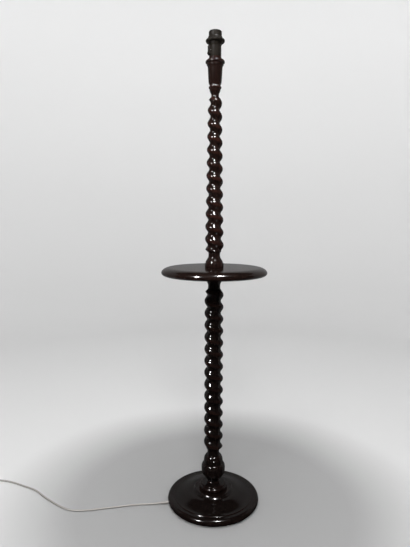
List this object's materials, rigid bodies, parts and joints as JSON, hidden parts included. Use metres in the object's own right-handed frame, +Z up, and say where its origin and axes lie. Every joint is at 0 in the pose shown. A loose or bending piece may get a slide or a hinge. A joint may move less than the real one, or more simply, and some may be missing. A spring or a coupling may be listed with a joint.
{
  "type": "floor lamp",
  "caption": "Candlestick floor lamp: turned base, barley-twist wooden columns with a round table, candle cup and screw lampholder with side switch.",
  "frame": {"origin": "on the floor, on the axis of the columns", "axes": "+Z up along the columns; -Y towards the viewer of the picture; the flex leaves the base towards -X"},
  "size_m": [1.0435, 0.336, 1.499],
  "materials": {
    "polished_wood": "glossy dark French polish",
    "table_wood": "glossy dark French polish",
    "moulded": "dark brown moulded phenolic, worn gloss",
    "brass": "plain machined brass",
    "steel": "zinc plated",
    "ceramic": "unglazed steatite",
    "felt": "dark green baize",
    "flex": "matt grey sheathed flex",
    "core_insulation": "coloured core insulation",
    "tie_plastic": "matt band",
    "plug_rubber": "satin moulded plug"
  },
  "bodies": {
    "lamp": {"base_pad": "felt", "base_disc": "polished_wood", "cord_clip": "steel", "clip_screws": "steel", "lower_column": "polished_wood", "table_top": "table_wood", "upper_column": "polished_wood", "candle_cup": "polished_wood", "nipple_plate": "brass", "plate_screws": "brass", "thread_nipple": "brass", "riser_flex": "flex", "flex_cores": "core_insulation", "holder_body": "moulded", "entry_bush": "brass", "grub_screw": "steel", "rocker_pin": "steel", "switch_contacts": "brass", "holder_mantle": "moulded", "contact_block": "ceramic", "screw_shell": "brass", "centre_contact": "brass", "terminal_screws": "steel", "cord_bush": "flex", "mains_cord": "flex", "cord_coil": "flex", "cord_tail": "flex", "coil_tie": "tie_plastic", "plug_body": "plug_rubber", "plug_pins": "brass"},
    "rocker": {"switch_rocker": "moulded"},
    "ring": {"shade_ring": "moulded"}
  },
  "joints": [
    {"name": "rocker_pivot", "type": "hinge", "parent": "lamp", "child": "rocker", "pos_m": [-0.01597, -0.00581, 1.443], "axis": [0.342, -0.9397, 0], "range_deg": [0, 12]},
    {"name": "ring_travel", "type": "slide", "parent": "lamp", "child": "ring", "axis": [0, 0, 1], "range_m": [0, 0.012]}
  ]
}
